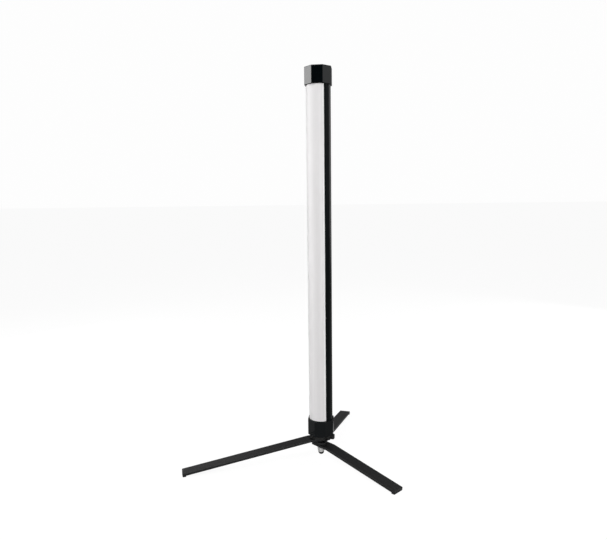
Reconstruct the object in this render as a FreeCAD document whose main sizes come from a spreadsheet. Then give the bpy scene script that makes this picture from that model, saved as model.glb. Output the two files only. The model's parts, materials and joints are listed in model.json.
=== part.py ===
"""A battery LED light tube standing on a folding three-leg floor stand.

The frame has its origin on the floor under the tube's axis, +Z up. Azimuths are turned about +Z from
the front, which is -Y, towards +X. Everything is in millimetres.
"""
import FreeCAD, Part
import math
import os

import Sketcher

os.makedirs("parts", exist_ok=True)
doc = FreeCAD.newDocument("LightTube")

DIMENSIONS = {
    # the light as a whole
    "light_length": 738.0,
    "light_azimuth": -50.2,
    "fit_gap": 0.1,
    # octagonal end caps
    "cap_flats": 52.0,
    "cap_height": 33.2,
    "cap_floor": 4.0,
    "cap_bore": 21.5,
    "cap_corner": 0.8,
    "cap_edge": 1.2,
    "post_radius": 4.0,
    "boss_radius": 7.5,
    "boss_height": 18.0,
    "seal_thick": 0.8,
    # tube: extruded housing behind, diffuser in front
    "tube_radius": 24.2,
    "wall_thick": 1.8,
    "split_depth": 5.73,
    "back_flat": 21.93,
    "web_front": 4.0,
    "web_thick": 2.0,
    "recess_half": 21.5,
    "diffuser_thick": 2.0,
    "foot_inner": 19.6,
    "foot_outer": 21.4,
    "foot_front": 9.5,
    "notch_half": 4.0,
    "notch_low": 3.0,
    "notch_high": 11.0,
    # screw ports in the extrusion
    "port_radius": 3.0,
    "port_bore": 1.55,
    "screw_radius": 1.5,
    "head_radius": 2.8,
    "head_height": 2.2,
    "grip_length": 8.0,
    "screw_length": 18.0,
    "screw_play": 0.2,
    "head_play": 0.3,
    "drive_radius": 1.3,
    "drive_depth": 1.3,
    # brass inserts, 1/4"-20 thread
    "insert_radius": 4.97,
    "insert_length": 14.0,
    "insert_play": 0.03,
    "waist_depth": 0.6,
    "waist_low": 5.0,
    "waist_high": 9.0,
    "thread_radius": 3.175,
    "thread_play": 0.05,
    # LED board
    "board_half": 9.0,
    "pad_thick": 0.5,
    "board_thick": 1.4,
    "board_margin": 14.0,
    "chip_size": 5.0,
    "chip_thick": 1.4,
    "chip_pitch": 13.3,
    "chip_row": 4.5,
    # battery
    "cell_radius": 9.1,
    "cell_length": 65.0,
    "cell_pitch": 66.5,
    "cell_centre": 9.4,
    "cell_start": 186.0,
    "cell_count": 4.0,
    "nub_radius": 3.0,
    "nub_height": 0.8,
    "link_radius": 4.5,
    "cradle_half": 11.0,
    "cradle_back": 4.0,
    "cradle_margin": 1.0,
    "lead_radius": 0.8,
    # control panel on the flat back
    "panel_low": 56.0,
    "panel_length": 104.0,
    "panel_half": 9.4,
    "panel_flange": 1.4,
    "panel_round": 1.0,
    "plug_margin": 6.0,
    "plug_half": 7.8,
    "panel_inner": 20.2,
    "board_face": 14.9,
    "window_half": 6.0,
    "window_low": 124.5,
    "window_length": 27.0,
    "button_radius": 3.6,
    "button_play": 0.3,
    "button_proud": 1.0,
    "button_first": 80.0,
    "button_pitch": 11.0,
    "button_flange": 0.8,
    "button_back": 1.0,
    "button_round": 0.45,
    "switch_side": 6.0,
    "switch_height": 2.4,
    "plunger_radius": 1.6,
    "plunger_play": 0.7,
    "circuit_half": 8.6,
    "circuit_thick": 1.6,
    "circuit_margin": 1.0,
    # the panel's own screws
    "tiny_across": 5.5,
    "tiny_inset": 3.0,
    "tiny_shank": 0.8,
    "tiny_length": 3.6,
    "tiny_pilot": 0.85,
    "tiny_bore": 1.1,
    "tiny_head": 1.75,
    "tiny_head_thick": 0.9,
    "tiny_seat": 1.9,
    "tiny_seat_depth": 1.0,
    "slot_length": 2.6,
    "slot_width": 0.5,
    # USB-C socket
    "port_centre": 68.0,
    "port_half_width": 4.45,
    "port_half_height": 1.6,
    "port_round": 1.2,
    "port_sunk": 0.4,
    "port_clear": 0.35,
    "mouth_half_width": 4.0,
    "mouth_half_height": 1.2,
    "mouth_depth": 6.2,
    "tongue_half_width": 3.3,
    "tongue_half_height": 0.35,
    # stand
    "foot_rise": 0.95,
    "foot_length": 7.0,
    "stack_height": 26.95,
    "leg_width": 25.0,
    "leg_thick": 5.0,
    "leg_tail": 17.0,
    "leg_bend": 26.0,
    "leg_slope": 8.5,
    "leg_corner": 3.0,
    "tip_corner": 1.0,
    "leg_edge": 0.5,
    "leg_azimuth": 45.4,
    "washer_gap": 1.5,
    "slip_gap": 0.05,
    "washer_radius": 11.0,
    "stud_radius": 4.0,
    "stud_play": 0.1,
    "hub_radius": 24.0,
    "hub_thick": 6.25,
    "hub_edge": 1.2,
    "hub_pad": 0.9,
    "lug_azimuth": 67.0,
    "lug_reach": 29.6,
    "lug_width": 10.0,
    "lug_drop": 1.1,
    "lug_top": 6.95,
    "lug_ledge": 23.4,
    "lug_seat": 4.0,
    "lug_corner": 2.5,
    "root_reach": 17.0,
    "root_width": 17.0,
    "root_flare": 1.2,
    "root_thick": 2.9,
    "eye_reach": 25.6,
    "eye_height": 2.3,
    "eye_radius": 1.5,
    "nut_flats": 13.0,
    "nut_hex": 7.6,
    "nut_height": 16.2,
    "flat_washer": 1.8,
    "flat_radius": 8.2,
    "spring_washer": 2.2,
    "spring_radius": 6.8,
    "spring_split": 1.6,
    "metal_play": 0.2,
    "dome_radius": 6.2,
    "nut_bore": 11.0,
    "stud_low": 10.0,
    "stud_top": 12.0,
    "stud_point": 0.6,
    "pad_inset": 1.0,
    "pad_bore": 6.0,
}

sheet = doc.addObject("Spreadsheet::Sheet", "Sizes")
for row, (alias, number) in enumerate(DIMENSIONS.items(), start=1):
    sheet.set(f"A{row}", alias)
    sheet.set(f"B{row}", str(number))
    sheet.setAlias(f"B{row}", alias)
doc.recompute()


class Size:
    """A number that remembers the sheet expression it comes from, so that it can be bound."""

    def __init__(self, number, text):
        self.number = number
        self.text = text

    def joined(self, sign, other, number):
        return Size(number, f"({self.text} {sign} {text_of(other)})")

    def __add__(self, other):
        return self.joined("+", other, self.number + number_of(other))

    def __sub__(self, other):
        return self.joined("-", other, self.number - number_of(other))

    def __mul__(self, other):
        return self.joined("*", other, self.number * number_of(other))

    def __truediv__(self, other):
        return self.joined("/", other, self.number / number_of(other))

    def __rmul__(self, other):
        return self * other

    def __neg__(self):
        return Size(-self.number, f"(0 - {self.text})")


def number_of(value):
    return value.number if isinstance(value, Size) else float(value)


def text_of(value):
    return value.text if isinstance(value, Size) else repr(float(value))


def cell(alias):
    return Size(float(sheet.get(alias)), f"Sizes.{alias}")


def trig(name, function, angle):
    return Size(function(math.radians(number_of(angle))), f"{name}({text_of(angle)} * 1 deg)")


def sine(angle):
    return trig("sin", math.sin, angle)


def cosine(angle):
    return trig("cos", math.cos, angle)


def tangent(angle):
    return trig("tan", math.tan, angle)


def bind(thing, name, value):
    """Tie a property or a named constraint to the sheet."""
    thing.setExpression(name, text_of(value))


# ---------------------------------------------------------------- modelling helpers

def place(thing, x=0, y=0, z=0, turn=0):
    """Put a sub-part at x, y, z, turned about +Z."""
    thing.Placement = FreeCAD.Placement(
        FreeCAD.Vector(number_of(x), number_of(y), number_of(z)),
        FreeCAD.Rotation(FreeCAD.Vector(0, 0, 1), number_of(turn)),
    )
    for axis, value in (("x", x), ("y", y), ("z", z)):
        if isinstance(value, Size):
            bind(thing, f"Placement.Base.{axis}", value)
    return thing


def new_body(label):
    body = doc.addObject("PartDesign::Body", label)
    body.Label = label
    return body


def new_sketch(body, plane, offset=0):
    """A sketch on one of the body's own origin planes, moved along that plane's normal."""
    sketch = body.newObject("Sketcher::SketchObject", f"{body.Label}_sketch")
    support = next(f for f in body.Origin.OriginFeatures if f.Role == plane)
    sketch.AttachmentSupport = [(support, "")]
    sketch.MapMode = "FlatFace"
    bind(sketch, "AttachmentOffset.Base.z", offset)
    return sketch


def pin_point(sketch, geometry, point, x, y):
    """Fix one point of the sketch at x, y from the sketch's origin."""
    for kind, value in (("DistanceX", x), ("DistanceY", y)):
        index = sketch.addConstraint(
            Sketcher.Constraint(kind, geometry, point, number_of(value)))
        name = f"{kind[-1].lower()}{index}"
        sketch.renameConstraint(index, name)
        if isinstance(value, Size):
            bind(sketch, f"Constraints.{name}", value)


def add_polygon(sketch, points):
    corners = [FreeCAD.Vector(number_of(x), number_of(y), 0) for x, y in points]
    first = sketch.GeometryCount
    for start, end in zip(corners, corners[1:] + corners[:1]):
        sketch.addGeometry(Part.LineSegment(start, end))
    count = len(points)
    for index in range(count):
        sketch.addConstraint(Sketcher.Constraint(
            "Coincident", first + index, 2, first + (index + 1) % count, 1))
    for index, (x, y) in enumerate(points):
        pin_point(sketch, first + index, 1, x, y)


def add_rectangle(sketch, low_x, low_y, high_x, high_y):
    add_polygon(sketch, [(low_x, low_y), (high_x, low_y), (high_x, high_y), (low_x, high_y)])


def add_circle(sketch, radius, x=0, y=0):
    index = sketch.addGeometry(Part.Circle(
        FreeCAD.Vector(number_of(x), number_of(y), 0), FreeCAD.Vector(0, 0, 1), number_of(radius)))
    pin_point(sketch, index, 3, x, y)
    constraint = sketch.addConstraint(Sketcher.Constraint("Radius", index, number_of(radius)))
    sketch.renameConstraint(constraint, f"radius{constraint}")
    if isinstance(radius, Size):
        bind(sketch, f"Constraints.radius{constraint}", radius)


def extrude(body, kind, sketch, length, symmetric=False, reverse=False):
    """A Pad or a Pocket of the sketch. A length of None cuts through everything."""
    feature = body.newObject(f"PartDesign::{kind}", f"{body.Label}_{kind.lower()}")
    feature.Profile = sketch
    if length is None:
        feature.Type = "ThroughAll"
    else:
        bind(feature, "Length", length)
    if symmetric:
        feature.SideType = "Symmetric"
    feature.Reversed = reverse
    doc.recompute()
    return feature


def revolve(body, points, kind="Revolution"):
    """Turn a half outline, given as (radius, height) points, about the body's Z axis."""
    sketch = new_sketch(body, "XZ_Plane")
    add_polygon(sketch, points)
    feature = body.newObject(f"PartDesign::{kind}", f"{body.Label}_{kind.lower()}")
    feature.Profile = sketch
    feature.ReferenceAxis = (sketch, ["V_Axis"])
    feature.Angle = 360
    doc.recompute()
    return feature


def soften(body, kind, size, test):
    """Fillet or chamfer the edges of the body's tip that pass the test."""
    base = body.Tip
    names = [
        f"Edge{index}" for index, edge in enumerate(base.Shape.Edges, start=1) if test(edge)
    ]
    feature = body.newObject(f"PartDesign::{kind}", f"{body.Label}_{kind.lower()}")
    feature.Base = (base, names)
    bind(feature, "Radius" if kind == "Fillet" else "Size", size)
    doc.recompute()
    return feature


def primitive(kind, name, position=(0, 0, 0), **sizes):
    """A Part primitive with bound sizes at a bound position."""
    solid = doc.addObject(f"Part::{kind}", name)
    for prop, value in sizes.items():
        bind(solid, prop, value)
    return place(solid, *position)


def box(name, low, high):
    """A Part::Box between two opposite corners."""
    sides = [b - a if isinstance(b, Size) else -(a - b) for a, b in zip(low, high)]
    return primitive("Box", name, low, Length=sides[0], Width=sides[1], Height=sides[2])


def cylinder(name, radius, height, position=(0, 0, 0)):
    return primitive("Cylinder", name, position, Radius=radius, Height=height)


def slab(label, low, high):
    """A body that is one rectangular block between two opposite corners."""
    body = new_body(label)
    sketch = new_sketch(body, "XY_Plane", low[2])
    add_rectangle(sketch, low[0], low[1], high[0], high[1])
    extrude(body, "Pad", sketch, high[2] - low[2])
    return body


def join(name, pieces):
    union = doc.addObject("Part::MultiFuse", name)
    union.Shapes = pieces
    return union


def subtract(name, base, tool):
    cut = doc.addObject("Part::Cut", name)
    cut.Base = base
    cut.Tool = tool
    return cut


def overlap(name, pieces):
    common = doc.addObject("Part::MultiCommon", name)
    common.Shapes = pieces
    return common


def group(label, solids):
    """Several separate solids that make one node."""
    feature = doc.addObject("Part::Feature", label)
    feature.Shape = Part.makeCompound(solids)
    return feature


def circle_points(radius, count, first_angle):
    step = 360.0 / count
    return [
        (radius * cosine(first_angle + index * step), radius * sine(first_angle + index * step))
        for index in range(count)
    ]


def ends_of(edge):
    return [vertex.Point for vertex in edge.Vertexes]


def is_upright(edge):
    ends = ends_of(edge)
    return len(ends) == 2 and math.hypot(ends[0].x - ends[1].x, ends[0].y - ends[1].y) < 1e-6


def at_height(edge, height):
    ends = ends_of(edge)
    return len(ends) > 0 and all(abs(end.z - number_of(height)) < 1e-6 for end in ends)


# ---------------------------------------------------------------- levels and shared sizes

gap = cell("fit_gap")
leg_thick = cell("leg_thick")
leg_step = leg_thick + cell("washer_gap")
stack_low = cell("stack_height")
hub_low = stack_low + leg_step * 3
hub_high = hub_low + cell("hub_thick")
light_base = hub_high + cell("hub_pad") + gap

light_length = cell("light_length")
cap_height = cell("cap_height")
tube_low = cap_height + cell("seal_thick")
tube_high = light_length - tube_low
tube_radius = cell("tube_radius")
split_depth = cell("split_depth")
back_flat = cell("back_flat")
web_front = -cell("web_front")
web_back = web_front + cell("web_thick")
bay_back = back_flat - cell("wall_thick")
BEYOND = 40.0

SCREW_PORTS = [(-13.5, 15.5), (13.5, 15.5), (-19.5, -0.2), (19.5, -0.2)]


def on_light(thing):
    """Sub-parts of the light are drawn with the light facing -Y and its base at z = 0."""
    return place(thing, 0, 0, light_base, cell("light_azimuth"))


def flipped_on_light(thing):
    """The top end's sub-parts are those of the bottom end, turned upside down."""
    thing.Placement = FreeCAD.Placement(
        FreeCAD.Vector(0, 0, number_of(light_base + light_length)),
        FreeCAD.Rotation(FreeCAD.Vector(0, 0, 1), number_of(cell("light_azimuth"))),
    ) * FreeCAD.Placement(FreeCAD.Vector(), FreeCAD.Rotation(FreeCAD.Vector(0, 1, 0), 180))
    return thing


# ---------------------------------------------------------------- tube: housing and diffuser

def make_housing():
    """Extruded shell with a flat back, a web for the LEDs and four screw ports."""
    length = tube_high - tube_low
    outside = cylinder("housing_round", tube_radius, length, (0, 0, tube_low))
    front = box("housing_front", (-BEYOND, -BEYOND, 0), (BEYOND, -split_depth, light_length))
    back = box("housing_back", (-BEYOND, back_flat, 0), (BEYOND, BEYOND, light_length))
    bay = overlap("housing_bay", [
        cylinder("bay_round", tube_radius - cell("wall_thick"), light_length),
        box("bay_depth", (-BEYOND, web_back, 0), (BEYOND, bay_back, light_length)),
    ])
    half = cell("recess_half")
    recess = box("housing_recess", (-half, -BEYOND, 0), (half, web_front, light_length))
    plug = cell("plug_half") + gap
    plug_low = cell("panel_low") + cell("plug_margin") - gap
    plug_high = cell("panel_low") + cell("panel_length") - cell("plug_margin") + gap
    window = box("housing_window", (-plug, bay_back - 1.0, plug_low), (plug, BEYOND, plug_high))
    notch_half = cell("notch_half")
    notch = box("housing_notch", (-notch_half, web_front - 1.0, tube_low + cell("notch_low")),
                (notch_half, web_back + 1.0, tube_low + cell("notch_high")))
    shell = subtract("housing_shell", outside, join(
        "housing_spaces", [front, back, bay, recess, window, notch]))
    ports = [
        cylinder(f"port_{index}", cell("port_radius"), length, (x, y, tube_low))
        for index, (x, y) in enumerate(SCREW_PORTS)
    ]
    bores = [
        cylinder(f"port_bore_{index}", cell("port_bore"), light_length, (x, y, 0))
        for index, (x, y) in enumerate(SCREW_PORTS)
    ]
    pilots = panel_screw_holes("housing_pilot", cell("tiny_pilot"))
    solid = join("housing_solid", [shell] + ports)
    return on_light(subtract("housing", solid, join("housing_holes", bores + pilots)))


def panel_screw_places():
    across = cell("tiny_across")
    low = cell("panel_low") + cell("tiny_inset")
    high = cell("panel_low") + cell("panel_length") - cell("tiny_inset")
    return [(x, z) for x in (-across, across) for z in (low, high)]


def panel_screw_holes(name, radius):
    """Cylinders along Y, through the back wall, at the four panel screws."""
    holes = []
    for index, (x, z) in enumerate(panel_screw_places()):
        hole = cylinder(f"{name}_{index}", radius, cell("wall_thick") + 4.0)
        hole.Placement = FreeCAD.Placement(
            FreeCAD.Vector(number_of(x), number_of(bay_back) - 2.0, number_of(z)),
            FreeCAD.Rotation(FreeCAD.Vector(1, 0, 0), -90))
        holes.append(hole)
    return holes


def make_diffuser():
    """Milky half round with two feet that slide into the housing's recess."""
    length = tube_high - tube_low
    ring = subtract(
        "diffuser_ring",
        cylinder("diffuser_outside", tube_radius, length, (0, 0, tube_low)),
        cylinder("diffuser_inside", tube_radius - cell("diffuser_thick"), length, (0, 0, tube_low)))
    front = box("diffuser_front", (-BEYOND, -BEYOND, tube_low), (BEYOND, -split_depth - gap, tube_high))
    inner = cell("foot_inner")
    outer = cell("foot_outer")
    near = -cell("foot_front")
    far = web_front - gap
    right = box("diffuser_foot_right", (inner, near, tube_low), (outer, far, tube_high))
    left = box("diffuser_foot_left", (-outer, near, tube_low), (-inner, far, tube_high))
    shell = overlap("diffuser_shell", [ring, front])
    return on_light(join("diffuser", [shell, right, left]))


# ---------------------------------------------------------------- LED engine

board_low = tube_low + cell("board_margin")
board_high = tube_high - cell("board_margin")
board_half = cell("board_half")
pad_front = web_front - cell("pad_thick")
board_front = pad_front - cell("board_thick")


def make_thermal_pad():
    return on_light(slab("thermal_pad", (-board_half, pad_front, board_low),
                         (board_half, web_front, board_high)))


def make_led_board():
    return on_light(slab("led_board", (-board_half, board_front, board_low),
                         (board_half, pad_front, board_high)))


def make_led_chips():
    """Two rows of LED packages along the board."""
    size = number_of(cell("chip_size"))
    thick = number_of(cell("chip_thick"))
    pitch = number_of(cell("chip_pitch"))
    low = number_of(board_low)
    count = int((number_of(board_high) - low - size) // pitch) + 1
    spare = number_of(board_high) - low - (count - 1) * pitch
    chips = []
    for index in range(count):
        centre = low + spare / 2 + index * pitch
        for x in (-number_of(cell("chip_row")), number_of(cell("chip_row"))):
            corner = FreeCAD.Vector(x - size / 2, number_of(board_front) - thick, centre - size / 2)
            chips.append(Part.makeBox(size, thick, size, corner))
    return on_light(group("led_chips", chips))


# ---------------------------------------------------------------- battery

cell_radius = cell("cell_radius")
cell_centre = cell("cell_centre")
cell_start = cell("cell_start")
cell_count = int(number_of(cell("cell_count")))
UP = FreeCAD.Vector(0, 0, 1)


def make_battery_cells():
    """Cylindrical cells in one line, each with its raised end contact."""
    cells = []
    for index in range(cell_count):
        low = number_of(cell_start) + index * number_of(cell("cell_pitch"))
        axis = FreeCAD.Vector(0, number_of(cell_centre), low)
        nub_height = number_of(cell("nub_height"))
        can_length = number_of(cell("cell_length")) - nub_height
        can = Part.makeCylinder(number_of(cell_radius), can_length, axis, UP)
        nub = Part.makeCylinder(number_of(cell("nub_radius")), nub_height, axis + UP * can_length, UP)
        cells.append(can.fuse(nub))
    return on_light(group("battery_cells", cells))


def make_cell_links():
    """Nickel tabs in the gaps between the cells."""
    pitch = number_of(cell("cell_pitch"))
    gap_height = pitch - number_of(cell("cell_length"))
    play = number_of(gap)
    tabs = []
    for index in range(cell_count - 1):
        low = number_of(cell_start) + (index + 1) * pitch - gap_height
        axis = FreeCAD.Vector(0, number_of(cell_centre), low + play)
        tabs.append(Part.makeCylinder(
            number_of(cell("link_radius")), gap_height - 2 * play, axis, UP))
    return on_light(group("cell_links", tabs))


def make_battery_cradle():
    """Saddle that carries the cells on the back of the web."""
    half = cell("cradle_half")
    low = cell_start - cell("cradle_margin")
    high = cell_start + cell("cell_pitch") * cell_count + cell("cradle_margin")
    block = box("cradle_block", (-half, web_back + gap, low), (half, cell("cradle_back"), high))
    trough = cylinder("cradle_trough", cell_radius + gap, light_length, (0, cell_centre, 0))
    return on_light(subtract("battery_cradle", block, trough))


# ---------------------------------------------------------------- leads

def rounded_path(points, bend):
    """Straight runs joined by tangent arcs of one radius."""
    corners = [FreeCAD.Vector(*point) for point in points]
    edges = []
    start = corners[0]
    for before, corner, after in zip(corners, corners[1:], corners[2:]):
        back = (before - corner).normalize()
        ahead = (after - corner).normalize()
        half_angle = back.getAngle(ahead) / 2
        reach = bend / math.tan(half_angle)
        arc_start = corner + back * reach
        arc_end = corner + ahead * reach
        centre = corner + (back + ahead).normalize() * (bend / math.sin(half_angle))
        middle = centre + (corner - centre).normalize() * bend
        edges.append(Part.LineSegment(start, arc_start).toShape())
        edges.append(Part.Arc(arc_start, middle, arc_end).toShape())
        start = arc_end
    edges.append(Part.LineSegment(start, corners[-1]).toShape())
    return Part.Wire(edges)


def make_lead(points, radius, bend):
    path = rounded_path(points, bend)
    direction = FreeCAD.Vector(*points[1]) - FreeCAD.Vector(*points[0])
    section = Part.Wire([Part.makeCircle(radius, FreeCAD.Vector(*points[0]), direction)])
    return path.makePipeShell([section], True, True)


lead_radius = number_of(cell("lead_radius"))
BOARD_SIDE = 12.2
BATTERY_LEAD_X = (-2.5, 2.5)
BATTERY_LEAD_BEND = 6.0
LED_LEAD_X = (-2.0, 2.0)
LED_LEAD_BEND = 4.0


def make_battery_leads():
    """Two leads from the first cell to the top end of the control board."""
    top = number_of(cell_start) - 0.3
    centre = number_of(cell_centre)
    leads = []
    for x in BATTERY_LEAD_X:
        route = [
            (x, centre, top), (x, centre, top - 12.0),
            (x, BOARD_SIDE, top - 20.0), (x, BOARD_SIDE, top - 34.0),
        ]
        leads.append(make_lead(route, lead_radius, BATTERY_LEAD_BEND))
    return on_light(group("battery_leads", leads))


def make_led_leads():
    """Two leads from the control board through the web's notch to the LED board."""
    low = number_of(tube_low + (cell("notch_low") + cell("notch_high")) / 2)
    front = number_of(board_front) - lead_radius
    leads = []
    for x in LED_LEAD_X:
        route = [
            (x, BOARD_SIDE, low + 27.0), (x, BOARD_SIDE, low),
            (x, front, low), (x, front, low + 10.0),
        ]
        leads.append(make_lead(route, lead_radius, LED_LEAD_BEND))
    return on_light(group("led_leads", leads))


# ---------------------------------------------------------------- controls on the flat back

board_face = cell("board_face")
panel_low = cell("panel_low")
panel_high = panel_low + cell("panel_length")
plug_low = panel_low + cell("plug_margin")
plug_high = panel_high - cell("plug_margin")
panel_inner = cell("panel_inner")
panel_outer = back_flat + cell("panel_flange")
window_low = cell("window_low")
window_high = window_low + cell("window_length")
window_half = cell("window_half")
port_centre = cell("port_centre")
BUTTONS = ["power_button", "minus_button", "plus_button", "mode_button"]


def button_height(index):
    return cell("button_first") + cell("button_pitch") * index


def back_sketch(body, depth):
    """A sketch facing the light's back: its x is the body's X, its y is the body's Z."""
    return new_sketch(body, "XZ_Plane", -depth)


def make_control_panel():
    """Moulded plate screwed on the flat back, with a plug that fills the housing's window."""
    body = new_body("control_panel")
    half = cell("panel_half")
    sketch = back_sketch(body, back_flat)
    add_rectangle(sketch, -half, panel_low, half, panel_high)
    extrude(body, "Pad", sketch, panel_outer - back_flat, reverse=True)
    plug_half = cell("plug_half")
    sketch = back_sketch(body, back_flat)
    add_rectangle(sketch, -plug_half, plug_low, plug_half, plug_high)
    extrude(body, "Pad", sketch, back_flat - panel_inner)
    outer = number_of(panel_outer)
    soften(body, "Fillet", cell("panel_round"), lambda edge: all(
        abs(end.y - outer) < 1e-6 for end in ends_of(edge)))
    sketch = back_sketch(body, panel_inner)
    side = window_half + gap
    add_rectangle(sketch, -side, window_low - gap, side, window_high + gap)
    extrude(body, "Pocket", sketch, None)
    sketch = back_sketch(body, panel_inner)
    for index in range(len(BUTTONS)):
        add_circle(sketch, cell("button_radius") + cell("button_play"), 0, button_height(index))
    extrude(body, "Pocket", sketch, None)
    sketch = back_sketch(body, panel_inner)
    wide = cell("port_half_width") + cell("port_clear")
    high = cell("port_half_height") + cell("port_clear")
    add_rectangle(sketch, -wide, port_centre - high, wide, port_centre + high)
    extrude(body, "Pocket", sketch, None)
    sketch = back_sketch(body, panel_inner)
    for x, z in panel_screw_places():
        add_circle(sketch, cell("tiny_bore"), x, z)
    extrude(body, "Pocket", sketch, None)
    sketch = back_sketch(body, panel_outer - cell("tiny_seat_depth"))
    for x, z in panel_screw_places():
        add_circle(sketch, cell("tiny_seat"), x, z)
    extrude(body, "Pocket", sketch, cell("tiny_seat_depth") + 0.5)
    return on_light(body)


def make_panel_screws():
    """Four small screws with flat heads, sunk into the panel."""
    along = FreeCAD.Vector(0, 1, 0)
    seat = number_of(panel_outer - cell("tiny_seat_depth"))
    length = number_of(cell("tiny_length"))
    thick = number_of(cell("tiny_head_thick"))
    long = number_of(cell("slot_length"))
    wide = number_of(cell("slot_width"))
    screws = []
    for x, z in panel_screw_places():
        middle = FreeCAD.Vector(number_of(x), seat, number_of(z))
        shank = Part.makeCylinder(number_of(cell("tiny_shank")), length, middle - along * length, along)
        head = Part.makeCylinder(number_of(cell("tiny_head")), thick, middle, along)
        level = Part.makeBox(long, wide, wide, middle + FreeCAD.Vector(-long / 2, wide, -wide / 2))
        upright = Part.makeBox(wide, wide, long, middle + FreeCAD.Vector(-wide / 2, wide, -long / 2))
        screws.append(shank.fuse(head).cut(level).cut(upright))
    return on_light(group("panel_screws", screws))


def make_button(label, height):
    """Round key with a flange that keeps it behind the panel."""
    body = new_body(label)
    radius = cell("button_radius")
    stem_low = panel_inner - cell("slip_gap")
    sketch = back_sketch(body, stem_low - cell("button_back"))
    add_circle(sketch, radius + cell("button_flange"), 0, height)
    extrude(body, "Pad", sketch, cell("button_back"), reverse=True)
    sketch = back_sketch(body, stem_low)
    add_circle(sketch, radius, 0, height)
    extrude(body, "Pad", sketch, panel_outer + cell("button_proud") - stem_low, reverse=True)
    top = number_of(panel_outer + cell("button_proud"))
    soften(body, "Fillet", cell("button_round"), lambda edge: all(
        abs(end.y - top) < 1e-6 for end in ends_of(edge)))
    return on_light(body)


def make_display_window():
    """Clear dark pane, flush with the panel's face."""
    body = new_body("display_window")
    inside = panel_inner + gap * 3
    sketch = back_sketch(body, inside)
    add_rectangle(sketch, -window_half, window_low, window_half, window_high)
    extrude(body, "Pad", sketch, panel_outer - inside, reverse=True)
    return on_light(body)


def make_display_module():
    """Display behind the pane, a little smaller all round."""
    return on_light(slab(
        "display_module", (-(window_half - 0.4), board_face, window_low + 0.5),
        (window_half - 0.4, panel_inner - 0.2, window_high - 0.5)))


def make_control_board():
    """Circuit board behind the panel."""
    half = cell("circuit_half")
    margin = cell("circuit_margin")
    inner_face = board_face - cell("circuit_thick")
    return on_light(slab("control_board", (-half, inner_face, plug_low + margin),
                         (half, board_face, plug_high - margin)))


def make_tact_switches():
    """One small switch behind each key, with its plunger."""
    along = FreeCAD.Vector(0, 1, 0)
    face = number_of(board_face)
    side = number_of(cell("switch_side"))
    depth = number_of(cell("switch_height"))
    key_back = number_of(panel_inner - cell("slip_gap") - cell("button_back"))
    plunger_length = key_back - number_of(cell("plunger_play")) - face - depth
    plunger_radius = number_of(cell("plunger_radius"))
    switches = []
    for index in range(len(BUTTONS)):
        height = number_of(button_height(index))
        corner = FreeCAD.Vector(-side / 2, face, height - side / 2)
        can = Part.makeBox(side, depth, side, corner)
        base = FreeCAD.Vector(0, face + depth, height)
        plunger = Part.makeCylinder(plunger_radius, plunger_length, base, along)
        switches.append(can.fuse(plunger))
    return on_light(group("tact_switches", switches))


# left edge, height above the plug's lower end, width, depth, height
BOARD_PARTS = {
    "coil": (-4.0, 12.0, 8.0, 4.0, 8.0),
    "charger": (-3.5, 26.0, 7.0, 1.0, 7.0),
    "left_capacitor": (-6.5, 40.0, 5.0, 2.8, 5.0),
    "right_capacitor": (1.5, 40.0, 5.0, 2.8, 5.0),
    "controller": (-4.0, 56.0, 8.0, 1.4, 10.0),
}


def make_board_chips():
    """Controller, coil and capacitors on the inner side of the control board."""
    face = number_of(board_face - cell("circuit_thick"))
    low = number_of(plug_low)
    parts = []
    for left, rise, width, depth, height in BOARD_PARTS.values():
        corner = FreeCAD.Vector(left, face - depth, low + rise)
        parts.append(Part.makeBox(width, depth, height, corner))
    return on_light(group("board_chips", parts))


def add_centred(sketch, half_width, half_height):
    """A rectangle centred on the socket."""
    add_rectangle(sketch, -half_width, port_centre - half_height,
                  half_width, port_centre + half_height)


def make_usb_port():
    """Upright USB-C socket: a metal shell with a tongue, its mouth facing out of the panel."""
    body = new_body("usb_port")
    sketch = back_sketch(body, board_face)
    add_centred(sketch, cell("port_half_width"), cell("port_half_height"))
    mouth = panel_outer - cell("port_sunk")
    extrude(body, "Pad", sketch, mouth - board_face, reverse=True)
    soften(body, "Fillet", cell("port_round"), lambda edge: len(ends_of(edge)) == 2 and abs(
        ends_of(edge)[0].y - ends_of(edge)[1].y) > 1.0)
    sketch = back_sketch(body, mouth - cell("mouth_depth"))
    add_centred(sketch, cell("mouth_half_width"), cell("mouth_half_height"))
    add_centred(sketch, cell("tongue_half_width"), cell("tongue_half_height"))
    extrude(body, "Pocket", sketch, None)
    return on_light(body)


# ---------------------------------------------------------------- end caps

OCTAGON = 8
ROOTED = 0.5


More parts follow.
